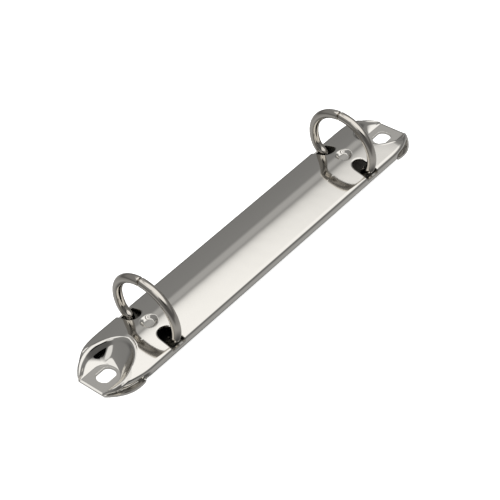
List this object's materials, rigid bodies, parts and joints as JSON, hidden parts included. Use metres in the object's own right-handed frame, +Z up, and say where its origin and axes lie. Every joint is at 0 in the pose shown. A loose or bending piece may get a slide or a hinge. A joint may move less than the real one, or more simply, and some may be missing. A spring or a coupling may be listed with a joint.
{
  "type": "ring binder mechanism",
  "caption": "Short binder mechanism: an arched stamped cover with scooped fixing ends, hinged blades under it and round rings that part at the top.",
  "frame": {"origin": "under the middle of the cover, on the plane of the two fixing tabs", "axes": "+X along the cover, from the left ring to the right ring; +Y across it, towards the rear blade; +Z up, through the rings"},
  "size_m": [0.1248, 0.0232, 0.0211],
  "materials": {
    "nickel_plate": "bright nickel plate on stamped steel",
    "nickel_wire": "bright nickel plate on drawn wire",
    "blade_steel": "rolled steel strip, darkened and oiled"
  },
  "bodies": {
    "cover": {"cover": "nickel_plate"},
    "front_leaf": {"front_blade": "blade_steel", "left_front_ring_half": "nickel_wire", "right_front_ring_half": "nickel_wire"},
    "rear_leaf": {"rear_blade": "blade_steel", "left_rear_ring_half": "nickel_wire", "right_rear_ring_half": "nickel_wire"}
  },
  "joints": [
    {"name": "front_hinge", "type": "hinge", "parent": "cover", "child": "front_leaf", "pos_m": [0, -0.00903, 0.00217], "axis": [1, 0, 0], "range_deg": [0, 21]},
    {"name": "rear_hinge", "type": "hinge", "parent": "cover", "child": "rear_leaf", "pos_m": [0, 0.00903, 0.00217], "axis": [-1, 0, 0], "range_deg": [0, 21]}
  ],
  "couplings": [
    {"joint": "rear_hinge", "follows": "front_hinge", "ratio": 1}
  ]
}
